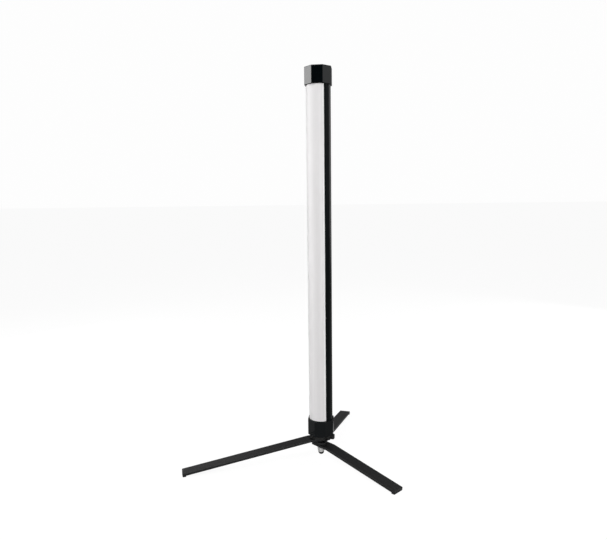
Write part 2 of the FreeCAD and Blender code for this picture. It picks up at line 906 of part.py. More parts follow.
def make_cap(label):
    """Octagonal cup with a boss for the insert and a post over each screw port."""
    body = new_body(label)
    sketch = new_sketch(body, "XY_Plane")
    corner_radius = cell("cap_flats") / 2 / cosine(180.0 / OCTAGON)
    add_polygon(sketch, circle_points(corner_radius, OCTAGON, 180.0 / OCTAGON))
    extrude(body, "Pad", sketch, cap_height)
    soften(body, "Fillet", cell("cap_corner"), is_upright)
    soften(body, "Fillet", cell("cap_edge"), lambda edge: at_height(edge, 0))
    sketch = new_sketch(body, "XY_Plane", cap_height)
    add_circle(sketch, cell("cap_bore"))
    floor = cell("cap_floor")
    extrude(body, "Pocket", sketch, cap_height - floor)
    root = floor - ROOTED
    sketch = new_sketch(body, "XY_Plane", root)
    add_circle(sketch, cell("boss_radius"))
    extrude(body, "Pad", sketch, cell("boss_height") - root)
    sketch = new_sketch(body, "XY_Plane", root)
    for x, y in SCREW_PORTS:
        add_circle(sketch, cell("post_radius"), x, y)
    extrude(body, "Pad", sketch, cap_height - root)
    sketch = new_sketch(body, "XY_Plane")
    add_circle(sketch, cell("insert_radius") + cell("insert_play"))
    extrude(body, "Pocket", sketch, cell("insert_length") + 1.0, reverse=True)
    sketch = new_sketch(body, "XY_Plane")
    for x, y in SCREW_PORTS:
        add_circle(sketch, cell("screw_radius") + cell("screw_play"), x, y)
    extrude(body, "Pocket", sketch, None, reverse=True)
    sketch = new_sketch(body, "XY_Plane")
    for x, y in SCREW_PORTS:
        add_circle(sketch, cell("head_radius") + cell("head_play"), x, y)
    extrude(body, "Pocket", sketch, cap_height - cell("grip_length"), reverse=True)
    return body


def make_gasket(label, low):
    """Thin seal that follows the end of the tube."""
    thick = cell("seal_thick") - gap
    inset = gap * 2
    bore = tube_radius - cell("wall_thick") - gap
    outer = overlap(f"{label}_outer", [
        cylinder(f"{label}_outer_round", tube_radius - inset, thick, (0, 0, low)),
        box(f"{label}_outer_depth", (-BEYOND, -BEYOND, low),
            (BEYOND, back_flat - inset, low + thick)),
    ])
    inner = overlap(f"{label}_inner", [
        cylinder(f"{label}_inner_round", bore, thick, (0, 0, low)),
        box(f"{label}_inner_depth", (-BEYOND, -BEYOND, low), (BEYOND, bay_back, low + thick)),
    ])
    return on_light(subtract(label, outer, inner))


def make_insert(label):
    """Brass insert with a 1/4-inch thread and a waist that the plastic grips."""
    body = new_body(label)
    bore = cell("thread_radius") + cell("thread_play")
    rim = cell("insert_radius")
    depth = cell("waist_depth")
    low = cell("waist_low")
    high = cell("waist_high")
    length = cell("insert_length")
    revolve(body, [
        (bore, 0), (rim, 0), (rim, low), (rim - depth, low + depth), (rim - depth, high - depth),
        (rim, high), (rim, length), (bore, length),
    ])
    return body


def make_cap_screws(label):
    """Four screws from the cap's end face into the extrusion's ports."""
    seat = number_of(cap_height - cell("grip_length"))
    head_radius = number_of(cell("head_radius"))
    head_height = number_of(cell("head_height"))
    shank_radius = number_of(cell("screw_radius"))
    shank_length = number_of(cell("screw_length"))
    across = FreeCAD.Vector(number_of(cell("drive_radius")), 0, 0)
    screws = []
    for x, y in SCREW_PORTS:
        top = FreeCAD.Vector(x, y, seat)
        face = top - UP * head_height
        head = Part.makeCylinder(head_radius, head_height, face)
        shank = Part.makeCylinder(shank_radius, shank_length, top)
        corners = [face + FreeCAD.Rotation(UP, 60.0 * index).multVec(across) for index in range(7)]
        socket = Part.Face(Part.makePolygon(corners)).extrude(UP * number_of(cell("drive_depth")))
        screws.append(head.fuse(shank).cut(socket))
    return group(label, screws)


# ---------------------------------------------------------------- stand

def azimuth_turn(azimuth):
    """The body's +X axis is turned to the azimuth, which counts from -Y towards +X."""
    return azimuth - 90.0


def make_leg(label, azimuth, level):
    """Flat bar on the stud: level at the hub, then bent down to its foot."""
    body = new_body(label)
    slope = cell("leg_slope")
    miter = leg_thick / 2 * tangent(slope / 2)
    under_bend = cell("leg_bend") - miter
    over_bend = cell("leg_bend") + miter
    drop = level - cell("foot_rise")
    reach = under_bend + drop / tangent(slope)
    tail = -cell("leg_tail")
    sketch = new_sketch(body, "XZ_Plane")
    add_polygon(sketch, [
        (tail, 0), (under_bend, 0), (reach, -drop),
        (reach + leg_thick * sine(slope), leg_thick * cosine(slope) - drop),
        (over_bend, leg_thick), (tail, leg_thick),
    ])
    width = cell("leg_width")
    extrude(body, "Pad", sketch, width, symmetric=True)
    near_tail = number_of(tail) + 1e-3
    near_tip = number_of(reach) - 1e-3
    soften(body, "Fillet", cell("leg_corner"), lambda edge: is_upright(edge) and all(
        end.x < near_tail for end in ends_of(edge)))
    soften(body, "Fillet", cell("tip_corner"), lambda edge: all(
        end.x > near_tip for end in ends_of(edge)) and ends_of(edge)[0].y * ends_of(edge)[1].y > 0)
    side = number_of(width) / 2 - 1e-6
    soften(body, "Fillet", cell("leg_edge"), lambda edge: len(ends_of(edge)) == 2 and all(
        abs(end.y) > side for end in ends_of(edge)) and edge.Length > number_of(leg_thick) + 0.5)
    sketch = new_sketch(body, "XY_Plane")
    add_circle(sketch, cell("stud_radius") + cell("stud_play"))
    extrude(body, "Pocket", sketch, None, reverse=True)
    return place(body, 0, 0, level, azimuth_turn(number_of(azimuth)))


def make_foot(label, azimuth, level):
    """Rubber wedge under a leg's tip, as wide as the leg and flat on the floor."""
    body = new_body(label)
    slope = cell("leg_slope")
    rise = cell("foot_rise")
    under_bend = cell("leg_bend") - leg_thick / 2 * tangent(slope / 2)
    end = under_bend + (level - rise) / tangent(slope)
    inner = end - cell("foot_length")
    sketch = new_sketch(body, "XZ_Plane")
    add_polygon(sketch, [
        (inner, 0), (end, 0), (end, rise), (inner, rise + cell("foot_length") * tangent(slope)),
    ])
    extrude(body, "Pad", sketch, cell("leg_width"), symmetric=True)
    near_tip = number_of(end) - 1e-3
    soften(body, "Fillet", cell("tip_corner"), lambda edge: is_upright(edge) and all(
        vertex.x > near_tip for vertex in ends_of(edge)))
    return place(body, 0, 0, 0, azimuth_turn(number_of(azimuth)))


def ring_solid(outer, inner, low, thick):
    axis = FreeCAD.Vector(0, 0, low)
    return Part.makeCylinder(outer, thick, axis).cut(Part.makeCylinder(inner, thick, axis))


stud_radius = cell("stud_radius")
slip = cell("slip_gap")
spring_low = stack_low - slip - cell("spring_washer")
washer_low = spring_low - slip - cell("flat_washer")
nut_low = washer_low - cell("nut_height")


def make_spacer_washers():
    """One washer above each leg."""
    inner = number_of(stud_radius + cell("stud_play"))
    thick = number_of(cell("washer_gap")) - 2 * number_of(slip)
    washers = []
    for index in range(3):
        low = number_of(stack_low + leg_step * index + leg_thick + slip)
        washers.append(ring_solid(number_of(cell("washer_radius")), inner, low, thick))
    return group("spacer_washers", washers)


def make_spring_washer():
    """Split spring washer."""
    thick = cell("spring_washer")
    half = cell("spring_split") / 2
    outer = cylinder("spring_outer", cell("spring_radius"), thick, (0, 0, spring_low))
    bore = stud_radius + cell("metal_play")
    inner = cylinder("spring_inner", bore, thick, (0, 0, spring_low))
    split = box("spring_split", (0.0, -half, spring_low), (BEYOND, half, stack_low))
    return subtract("spring_washer", outer, join("spring_spaces", [inner, split]))


def make_nut_washer():
    """Flat washer between the nut and the spring washer."""
    body = new_body("nut_washer")
    sketch = new_sketch(body, "XY_Plane")
    add_circle(sketch, cell("flat_radius"))
    add_circle(sketch, stud_radius + cell("metal_play"))
    extrude(body, "Pad", sketch, cell("flat_washer"))
    return place(body, 0, 0, washer_low)


def make_dome_nut():
    """Hexagon nut with a closed dome underneath."""
    dome_radius = cell("dome_radius")
    hexagon = primitive("Prism", "nut_hexagon", (0, 0, washer_low - cell("nut_hex")),
                        Circumradius=cell("nut_flats") / 2 / cosine(30.0),
                        Height=cell("nut_hex"))
    hexagon.Polygon = 6
    barrel = cylinder("nut_barrel", dome_radius, washer_low - nut_low - dome_radius - 1.0,
                      (0, 0, nut_low + dome_radius))
    dome = primitive("Sphere", "nut_dome", (0, 0, nut_low + dome_radius), Radius=dome_radius)
    depth = cell("nut_bore")
    bore = cylinder("nut_bore", stud_radius + slip, depth + 1.0, (0, 0, washer_low - depth))
    return subtract("dome_nut", join("nut_solid", [hexagon, barrel, dome]), bore)


def make_stud():
    """Shouldered stud: nut end below, 1/4-inch thread above the hub."""
    body = new_body("stud")
    low = washer_low - cell("stud_low")
    thread = cell("thread_radius")
    end = hub_high + cell("stud_top")
    point = cell("stud_point")
    revolve(body, [
        (0, low), (stud_radius - point, low), (stud_radius, low + point), (stud_radius, hub_high),
        (thread, hub_high), (thread, end - point), (thread - point, end), (0, end),
    ])
    return body


def make_hub_plate():
    """Round plate under the light, with a lug at its edge that is bored for a safety cord."""
    body = new_body("hub_plate")
    thick = cell("hub_thick")
    sketch = new_sketch(body, "XY_Plane")
    add_circle(sketch, cell("hub_radius"))
    extrude(body, "Pad", sketch, thick)
    soften(body, "Fillet", cell("hub_edge"), lambda edge: at_height(edge, 0))
    end = cell("lug_reach")
    low = -cell("lug_drop")
    top = cell("lug_top")
    root = cell("root_reach")
    ledge = cell("lug_ledge")
    seat = cell("lug_seat")
    # the lug starts inside the plate, and rises past it only outside the rubber pad
    sketch = new_sketch(body, "XZ_Plane")
    add_polygon(sketch, [(root, low), (end, low), (end, top), (ledge, top), (ledge, seat), (root, seat)])
    extrude(body, "Pad", sketch, cell("lug_width"), symmetric=True)
    near_end = number_of(end) - 1e-3
    soften(body, "Fillet", cell("lug_corner"), lambda edge: is_upright(edge) and all(
        vertex.x > near_end for vertex in ends_of(edge)))
    # a flared root under the plate spreads the cord's pull
    half = cell("lug_width") / 2
    flare = cell("root_width") / 2
    neck = half + cell("root_flare")
    rim = cell("hub_radius")
    sketch = new_sketch(body, "XY_Plane", low)
    add_polygon(sketch, [(root, -flare), (rim, -neck), (rim, neck), (root, flare)])
    extrude(body, "Pad", sketch, cell("root_thick"))
    sketch = new_sketch(body, "XZ_Plane")
    add_circle(sketch, cell("eye_radius"), cell("eye_reach"), cell("eye_height"))
    extrude(body, "Pocket", sketch, cell("lug_width") + 2.0, symmetric=True)
    sketch = new_sketch(body, "XY_Plane")
    add_circle(sketch, stud_radius + cell("insert_play"))
    extrude(body, "Pocket", sketch, None, reverse=True)
    return place(body, 0, 0, hub_low, azimuth_turn(number_of(cell("lug_azimuth"))))


def make_hub_pad():
    """Thin rubber ring that the light sits on."""
    body = new_body("hub_pad")
    sketch = new_sketch(body, "XY_Plane")
    add_circle(sketch, cell("hub_radius") - cell("pad_inset"))
    add_circle(sketch, cell("pad_bore"))
    extrude(body, "Pad", sketch, cell("hub_pad"))
    return place(body, 0, 0, hub_high)


# ---------------------------------------------------------------- assembly

LEGS = {"right": 0, "rear": 120.0, "left": 240.0}

nodes = [
    make_housing(), make_diffuser(), make_thermal_pad(), make_led_board(), make_led_chips(),
    make_battery_cells(), make_cell_links(), make_battery_cradle(), make_battery_leads(),
    make_led_leads(), make_control_panel(), make_panel_screws(), make_display_window(),
    make_display_module(), make_control_board(), make_tact_switches(), make_board_chips(),
    make_usb_port(),
    on_light(make_cap("bottom_cap")), flipped_on_light(make_cap("top_cap")),
    make_gasket("bottom_gasket", cap_height + 0.05),
    make_gasket("top_gasket", light_length - tube_low + 0.05),
    on_light(make_insert("bottom_insert")), flipped_on_light(make_insert("top_insert")),
    on_light(make_cap_screws("bottom_cap_screws")),
    flipped_on_light(make_cap_screws("top_cap_screws")),
    make_hub_plate(), make_hub_pad(), make_stud(), make_spacer_washers(), make_spring_washer(),
    make_nut_washer(), make_dome_nut(),
]
for index, button in enumerate(BUTTONS):
    nodes.append(make_button(button, button_height(index)))
for index, (side, turn) in enumerate(LEGS.items()):
    level = stack_low + leg_step * index
    azimuth = cell("leg_azimuth") + turn
    nodes.append(make_leg(f"leg_{side}", azimuth, level))
    nodes.append(make_foot(f"foot_{side}", azimuth, level))
doc.recompute()

failed = [thing.Name for thing in doc.Objects if {"Invalid", "Error"} & set(thing.State)]
broken = [node.Label for node in nodes if node.Shape.isNull() or not node.Shape.isValid()]
if failed or broken:
    raise SystemExit(f"failed objects: {failed}, broken shapes: {broken}")
for node in nodes:
    node.Shape.exportStep(f"parts/{node.Label}.step")
    print(f"{node.Label:20s} {len(node.Shape.Solids):3d} solids {node.Shape.Volume:12.1f} mm3")
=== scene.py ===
"""Looks of the LED light tube on its folding stand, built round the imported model.

Metres, +Z up. Azimuths turn about +Z from the front, which is -Y, towards +X.
"""

import json
import math

import bmesh
import bpy
from mathutils import Matrix, Vector


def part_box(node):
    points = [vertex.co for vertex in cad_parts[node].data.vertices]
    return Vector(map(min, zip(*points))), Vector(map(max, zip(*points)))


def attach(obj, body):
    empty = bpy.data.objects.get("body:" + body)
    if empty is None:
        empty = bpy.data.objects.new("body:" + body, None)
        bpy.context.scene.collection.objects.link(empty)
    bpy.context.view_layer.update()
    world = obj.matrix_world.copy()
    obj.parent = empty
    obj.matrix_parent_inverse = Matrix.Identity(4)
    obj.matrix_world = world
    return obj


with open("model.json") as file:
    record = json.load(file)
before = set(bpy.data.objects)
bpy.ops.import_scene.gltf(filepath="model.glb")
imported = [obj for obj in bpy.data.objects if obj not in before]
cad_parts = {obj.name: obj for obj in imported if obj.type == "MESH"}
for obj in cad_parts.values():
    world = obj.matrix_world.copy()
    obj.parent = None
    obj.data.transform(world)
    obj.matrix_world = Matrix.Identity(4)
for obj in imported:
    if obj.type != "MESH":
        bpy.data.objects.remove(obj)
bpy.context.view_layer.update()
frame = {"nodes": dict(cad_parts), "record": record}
NODES = frame["nodes"]
MM = 0.001


def outward(node):
    """The level direction from the tube's axis to a node's box, and the height of its middle."""
    low, high = (Vector(corner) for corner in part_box(node))
    middle = (low + high) / 2
    return Vector((middle.x, middle.y, 0)).normalized(), middle.z


def furthest(node, direction):
    """How far a node's mesh goes in a direction, in metres from the origin."""
    return max(direction.dot(vertex.co) for vertex in NODES[node].data.vertices)


# ---------------------------------------------------------------- materials: the toolkit

class Nodes:
    """Short calls for the nodes of a material or a world."""

    def __init__(self, tree):
        self.tree = tree

    def node(self, kind, **settings):
        made = self.tree.nodes.new("ShaderNode" + kind)
        for name, value in settings.items():
            setattr(made, name, value)
        return made

    def feed(self, socket, value):
        """Links an output to a socket, or sets the socket to a number or colour."""
        if isinstance(value, bpy.types.NodeSocket):
            self.tree.links.new(value, socket)
        else:
            socket.default_value = value

    def calc(self, operation, first, second=0.0):
        """The result of a Math node."""
        made = self.node("Math", operation=operation)
        self.feed(made.inputs[0], first)
        self.feed(made.inputs[1], second)
        return made.outputs[0]

    def span(self, value, low, high, new_low=0.0, new_high=1.0):
        """The value's range low to high, mapped to a new range and clamped."""
        made = self.node("MapRange", interpolation_type="SMOOTHSTEP")
        numbers = (value, low, high, new_low, new_high)
        for socket, number in zip(made.inputs, numbers):
            self.feed(socket, number)
        return made.outputs[0]

    def axes(self, vector):
        """A vector's X, Y and Z."""
        made = self.node("SeparateXYZ")
        self.feed(made.inputs[0], vector)
        return made.outputs

    def mix_numbers(self, factor, first, second):
        """A number between two numbers."""
        # Mix has its own sockets for each type of data: 2 and 3 are for numbers.
        made = self.node("Mix")
        for index, value in ((0, factor), (2, first), (3, second)):
            self.feed(made.inputs[index], value)
        return made.outputs[0]

    def mix(self, factor, first, second):
        """A colour between two colours, each an output or three numbers."""
        # Of Mix's sockets, 6, 7 and the output 2 are for colours.
        made = self.node("Mix", data_type="RGBA")
        self.feed(made.inputs[0], factor)
        for index, colour in ((6, first), (7, second)):
            is_output = isinstance(colour, bpy.types.NodeSocket)
            self.feed(made.inputs[index], colour if is_output else (*colour, 1.0))
        return made.outputs[2]


FLAT_COSINE = 0.995
SHARP_COSINE = 0.9


class Surface(Nodes):
    """A material with a Principled BSDF, and what feeds it."""

    def __init__(self, name, colour, roughness, metallic=0.0, **constants):
        self.material = bpy.data.materials.new(name)
        self.material.use_nodes = True
        super().__init__(self.material.node_tree)
        self.shader = self.tree.nodes["Principled BSDF"]
        self.place = self.node("TexCoord").outputs["Object"]
        self.set("Base Color", (*colour, 1.0))
        self.set("Roughness", roughness)
        self.set("Metallic", metallic)
        for socket, value in constants.items():
            self.set(socket.replace("_", " ").title().replace("Ior", "IOR"), value)

    def set(self, name, value):
        self.feed(self.shader.inputs[name], value)

    def colours(self, factor, first, second):
        self.set("Base Color", self.mix(factor, first, second))

    def noise(self, size, detail=3.0, stretch=(1.0, 1.0, 1.0)):
        """Cloudy noise whose spots are about size metres across, stretched along an axis."""
        made = self.node("TexNoise")
        scaled = self.node("Mapping")
        self.feed(scaled.inputs["Vector"], self.place)
        scaled.inputs["Scale"].default_value = [1 / factor for factor in stretch]
        self.feed(made.inputs["Vector"], scaled.outputs["Vector"])
        made.inputs["Scale"].default_value = 1.0 / size
        made.inputs["Detail"].default_value = detail
        return made.outputs["Fac"]

    def cells(self, size):
        """Distance from the middle of cells that are about size metres across."""
        made = self.node("TexVoronoi")
        self.feed(made.inputs["Vector"], self.place)
        made.inputs["Scale"].default_value = 1.0 / size
        return made.outputs["Distance"]

    def bump(self, height, depth):
        """Adds relief: a height of 0 to 1 stands for depth metres."""
        made = self.node("Bump")
        made.inputs["Distance"].default_value = depth
        self.feed(made.inputs["Height"], height)
        normal = self.shader.inputs["Normal"]
        if normal.is_linked:
            self.feed(made.inputs["Normal"], normal.links[0].from_socket)
        self.feed(normal, made.outputs["Normal"])

    def edges(self, radius):
        """1 where the surface turns a sharp corner within the radius, 0 on flat parts.

        It compares the normal with one rounded over the radius.
        """
        rounded = self.node("Bevel", samples=6)
        rounded.inputs["Radius"].default_value = radius
        flat = self.node("NewGeometry").outputs["Normal"]
        likeness = self.node("VectorMath", operation="DOT_PRODUCT")
        self.feed(likeness.inputs[0], rounded.outputs["Normal"])
        self.feed(likeness.inputs[1], flat)
        return self.span(likeness.outputs["Value"], FLAT_COSINE, SHARP_COSINE)


def shade(colour, factor):
    return tuple(channel * factor for channel in colour)


# ---------------------------------------------------------------- materials: what is seen

# A painted highlight: the diffuser's colour is raised to white along its edge next to the housing.
RIM_GLINT_WHITE = (0.985, 0.98, 0.98)
RIM_LIGHTEST = 1.6 * MM
RIM_FADED = 3.6 * MM


def diffuser_milky():
    """Opal polycarbonate: faint draw lines, a soft inner glow, and a painted highlight along its
    edge next to the housing.
    """
    white = (0.862, 0.849, 0.851)
    surface = Surface("diffuser_milky", white, 0.4, subsurface_weight=0.3, subsurface_scale=0.002,
                      subsurface_radius=(1.0, 1.0, 1.0))
    draw_lines = surface.noise(1.4 * MM, 2.0, (1, 1, 400))
    clouds = surface.noise(60 * MM, 2.0, (1, 1, 3))
    tone = surface.calc("ADD", surface.calc("MULTIPLY", draw_lines, 0.5),
                        surface.calc("MULTIPLY", clouds, 0.5))
    body = surface.mix(surface.span(tone, 0.35, 0.65), shade(white, 0.975), shade(white, 1.01))
    # The diffuser faces away from the control keys, and starts where the housing ends.
    front = -outward("power_button")[0]
    rim = furthest("housing", front)
    x, y, _ = surface.axes(surface.place)
    ahead = surface.calc("ADD", surface.calc("MULTIPLY", x, front.x),
                         surface.calc("MULTIPLY", y, front.y))
    # Painted highlight: whiter towards the edge that meets the housing.
    rim_glint = surface.span(ahead, rim + RIM_FADED, rim + RIM_LIGHTEST)
    surface.colours(rim_glint, body, RIM_GLINT_WHITE)
    surface.set("Roughness", surface.span(draw_lines, 0.3, 0.7, 0.34, 0.46))
    surface.bump(draw_lines, 0.01 * MM)
    surface.bump(surface.noise(0.25 * MM, 2.0), 0.004 * MM)
    return surface.material


def housing_anodised():
    """Black anodised extrusion: satin, with die lines along its length."""
    black = (0.0024, 0.0036, 0.0038)
    surface = Surface("housing_anodised", black, 0.3, specular_ior_level=0.06)
    die_lines = surface.noise(0.7 * MM, 3.0, (1, 1, 600))
    broad_lines = surface.noise(4 * MM, 1.0, (1, 1, 300))
    surface.colours(broad_lines, shade(black, 0.8), shade(black, 1.6))
    surface.set("Roughness", surface.span(die_lines, 0.3, 0.7, 0.24, 0.36))
    surface.bump(die_lines, 0.012 * MM)
    surface.bump(surface.noise(0.12 * MM, 2.0), 0.004 * MM)
    return surface.material


def cap_gloss():
    """Glossy black moulding with faint flow, handling marks and fine hairlines."""
    black = (0.0012, 0.0022, 0.0028)
    surface = Surface("cap_gloss", black, 0.08, specular_ior_level=0.2)
    smudges = surface.noise(14 * MM, 4.0)
    hairlines = surface.noise(0.35 * MM, 2.0, (18, 1, 5))
    marks = surface.calc("MULTIPLY", surface.span(smudges, 0.45, 0.7, 0.0, 0.07),
                         surface.span(hairlines, 0.4, 0.6, 0.6, 1.0))
    surface.set("Roughness", surface.calc("ADD", marks, 0.06))
    surface.colours(smudges, black, shade(black, 1.5))
    surface.bump(surface.noise(3.0 * MM, 1.0), 0.012 * MM)
    return surface.material


def leg_paint():
    """Satin powder coat on flat bar, with its fine orange peel, and edges lightened: partly rubbed
    paint, partly a painted highlight.
    """
    black = (0.007, 0.007, 0.0075)
    worn_and_highlight_grey = (0.05, 0.05, 0.052)
    surface = Surface("leg_paint", black, 0.45, ior=1.42)
    peel = surface.noise(0.9 * MM, 2.0)
    grain = surface.noise(0.22 * MM, 2.0)
    # Lighter edges: partly rubbed paint, partly a painted highlight along the leg's edges.
    rubbed = surface.calc("MULTIPLY", surface.edges(1.2 * MM),
                          surface.span(surface.noise(5 * MM, 3.0), 0.3, 0.6, 0.3, 1.0))
    cloudy = surface.mix(surface.noise(30 * MM, 3.0), shade(black, 0.8), shade(black, 1.4))
    surface.colours(rubbed, cloudy, worn_and_highlight_grey)
    surface.set("Roughness", surface.span(grain, 0.3, 0.7, 0.36, 0.52))
    surface.bump(peel, 0.03 * MM)
    surface.bump(grain, 0.012 * MM)
    return surface.material


def hub_black():
    """Semi-gloss black paint on the machined hub, thinner at its edges."""
    black = (0.006, 0.006, 0.006)
    thin = (0.025, 0.025, 0.025)
    surface = Surface("hub_black", black, 0.3, ior=1.45)
    peel = surface.noise(0.8 * MM, 2.0)
    surface.colours(surface.edges(0.4 * MM), black, thin)
    surface.set("Roughness", surface.span(surface.noise(6 * MM), 0.35, 0.65, 0.24, 0.4))
    surface.bump(peel, 0.02 * MM)
    return surface.material


def rubber_black():
    """Matt black rubber with a dusty bloom and a fine moulded grain."""
    black = (0.009, 0.009, 0.009)
    surface = Surface("rubber_black", black, 0.75, ior=1.45)
    surface.colours(surface.noise(8 * MM, 4.0), shade(black, 0.7), shade(black, 1.6))
    surface.set("Roughness", surface.span(surface.noise(2 * MM), 0.3, 0.7, 0.65, 0.88))
    surface.bump(surface.noise(0.35 * MM, 3.0), 0.05 * MM)
    return surface.material


# Heights above the nut's bottom: the painted dark reflection is full below the first and gone
# above the second.
NUT_DARK_BELOW = 6.5 * MM
NUT_BRIGHT_ABOVE = 7.5 * MM


def nut_chrome():
    """Bright nickel plate with a little handling haze, and a painted dark reflection on its lower
    end near the floor.
    """
    silver = (0.97, 0.965, 0.95)
    painted_dark_reflection = (0.035, 0.035, 0.035)
    surface = Surface("nut_chrome", silver, 0.14, metallic=0.35)
    haze = surface.noise(2.5 * MM, 4.0)
    height = surface.axes(surface.place)[2]
    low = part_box("dome_nut")[0][2]
    uneven = surface.calc("ADD", height, surface.calc("MULTIPLY", haze, 0.6 * MM))
    # Painted dark reflection: the nut's lower end is darkened, its border made uneven by the haze.
    painted_reflection_mask = surface.span(uneven, low + NUT_BRIGHT_ABOVE, low + NUT_DARK_BELOW)
    plate = surface.mix(haze, shade(silver, 0.85), silver)
    surface.colours(painted_reflection_mask, plate, painted_dark_reflection)
    surface.set("Roughness", surface.span(haze, 0.35, 0.7, 0.08, 0.24))
    surface.bump(surface.noise(0.5 * MM, 2.0), 0.006 * MM)
    return surface.material


def steel_plain():
    """Zinc plated steel: spangled, with turning marks."""
    grey = (0.52, 0.53, 0.55)
    surface = Surface("steel_plain", grey, 0.3, metallic=1.0)
    spangle = surface.cells(1.6 * MM)
    surface.colours(surface.span(spangle, 0.2, 0.8), shade(grey, 0.8), shade(grey, 1.1))
    surface.set("Roughness", surface.span(spangle, 0.2, 0.9, 0.22, 0.42))
    surface.bump(surface.noise(0.3 * MM, 2.0, (1, 1, 0.2)), 0.01 * MM)
    return surface.material


def brass_insert():
    """Turned brass: rings round the axis and a light tarnish."""
    brass = (0.72, 0.5, 0.2)
    brown = (0.42, 0.26, 0.09)
    ring_spacing = 0.25 * MM
    surface = Surface("brass_insert", brass, 0.25, metallic=1.0)
    x, y, _ = surface.axes(surface.place)
    reach = surface.calc("SQRT", surface.calc("ADD", surface.calc("MULTIPLY", x, x),
                                              surface.calc("MULTIPLY", y, y)))
    rings = surface.calc("SINE", surface.calc("MULTIPLY", reach, 2 * math.pi / ring_spacing))
    tarnish = surface.noise(3 * MM, 4.0)
    surface.colours(surface.span(tarnish, 0.4, 0.7), brass, brown)
    surface.set("Roughness", surface.span(tarnish, 0.3, 0.7, 0.2, 0.42))
    surface.bump(rings, 0.006 * MM)
    return surface.material


def panel_black():
    """Spark-textured moulding of the control panel."""
    black = (0.024, 0.024, 0.025)
    worn = (0.06, 0.06, 0.06)
    surface = Surface("panel_black", black, 0.5, ior=1.46)
    grain = surface.noise(0.3 * MM, 3.0)
    surface.colours(surface.edges(0.3 * MM), black, worn)
    surface.set("Roughness", surface.span(grain, 0.3, 0.7, 0.42, 0.6))
    surface.bump(grain, 0.03 * MM)
    return surface.material


def key_grey():
    """Silicone keys, a little lighter than the panel, mottled and finely grained."""
    grey = (0.085, 0.087, 0.09)
    surface = Surface("key_grey", grey, 0.5, ior=1.42)
    speckle = surface.noise(0.25 * MM, 3.0)
    surface.colours(surface.noise(3 * MM, 3.0), shade(grey, 0.8), shade(grey, 1.3))
    surface.set("Roughness", surface.span(speckle, 0.3, 0.7, 0.42, 0.6))
    surface.bump(speckle, 0.015 * MM)
    return surface.material


def window_dark():
    """Smoked display window: polished, with a few dust specks and wipe marks."""
    dark = (0.004, 0.0045, 0.006)
    dusty = (0.25, 0.25, 0.25)
    surface = Surface("window_dark", dark, 0.04, ior=1.49)
    wipes = surface.noise(5 * MM, 3.0, (4, 4, 1))
    dust = surface.span(surface.cells(0.9 * MM), 0.05, 0.02)
    surface.colours(surface.calc("MULTIPLY", dust, 0.35), dark, dusty)
    surface.set("Roughness", surface.span(wipes, 0.4, 0.7, 0.03, 0.1))
    surface.bump(surface.noise(4 * MM, 1.0), 0.004 * MM)
    return surface.material


def screw_black():
    """Black oxide screws with bright rubbed corners."""
    black = (0.016, 0.016, 0.018)
    bright = (0.2, 0.2, 0.2)
    surface = Surface("screw_black", black, 0.35, metallic=0.7)
    rubbed = surface.calc("MULTIPLY", surface.edges(0.15 * MM), 0.7)
    surface.colours(rubbed, black, bright)
    surface.set("Roughness", surface.span(surface.noise(0.8 * MM), 0.3, 0.7, 0.28, 0.46))
    surface.bump(surface.noise(0.2 * MM, 2.0), 0.01 * MM)
    return surface.material


# ---------------------------------------------------------------- materials: what is inside

def mottled(name, colour, roughness, metallic=0.0, spot=1.5, depth=0.01):
    """A small or hidden part: mottled colour, uneven gloss, fine relief (spot, depth in mm)."""
    surface = Surface(name, colour, roughness, metallic)
    mottle = surface.noise(spot * MM, 4.0)
    surface.colours(mottle, shade(colour, 0.75), shade(colour, 1.15))
    surface.set("Roughness", surface.span(mottle, 0.3, 0.7, roughness * 0.8, roughness * 1.2))
    surface.bump(surface.noise(spot * 0.2 * MM, 2.0), depth * MM)
    return surface.material


MATERIALS = {
    "diffuser_milky": diffuser_milky(),
    "housing_anodised": housing_anodised(),
    "cap_gloss": cap_gloss(),
    "leg_paint": leg_paint(),
    "hub_black": hub_black(),
    "rubber_black": rubber_black(),
    "nut_chrome": nut_chrome(),
    "steel_plain": steel_plain(),
    "brass_insert": brass_insert(),
    "panel_black": panel_black(),
    "key_grey": key_grey(),
    "window_dark": window_dark(),
    "screw_black": screw_black(),
    "washer_black": mottled("washer_black", (0.02, 0.02, 0.02), 0.5, depth=0.02),
    "plastic_dark": mottled("plastic_dark", (0.03, 0.03, 0.03), 0.55, depth=0.03),
    "module_grey": mottled("module_grey", (0.2, 0.2, 0.21), 0.4),
    "thermal_grey": mottled("thermal_grey", (0.35, 0.37, 0.4), 0.7, spot=4.0, depth=0.04),
    "board_white": mottled("board_white", (0.8, 0.8, 0.78), 0.35, spot=6.0),
    "board_green": mottled("board_green", (0.02, 0.12, 0.05), 0.35, spot=3.0, depth=0.03),
    "led_phosphor": mottled("led_phosphor", (0.85, 0.62, 0.12), 0.3, spot=1.0),
    "cell_can": mottled("cell_can", (0.05, 0.2, 0.32), 0.35, spot=8.0),
    "nickel": mottled("nickel", (0.65, 0.63, 0.58), 0.25, metallic=1.0),
    "lead_red": mottled("lead_red", (0.4, 0.02, 0.02), 0.4),
}

for part in frame["record"]["subparts"]:
    for slot in NODES[part["node"]].material_slots:
        slot.material = MATERIALS[part["material_slot"]]


# ---------------------------------------------------------------- added detail

def new_piece(name, shape, body, material):
    """Makes a bmesh into an object that rides on a body."""
    bmesh.ops.recalc_face_normals(shape, faces=shape.faces[:])
    mesh = bpy.data.meshes.new(name)
    shape.to_mesh(mesh)
    shape.free()
    mesh.materials.append(material)
    piece = bpy.data.objects.new(name, mesh)
    bpy.context.scene.collection.objects.link(piece)
    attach(piece, body)


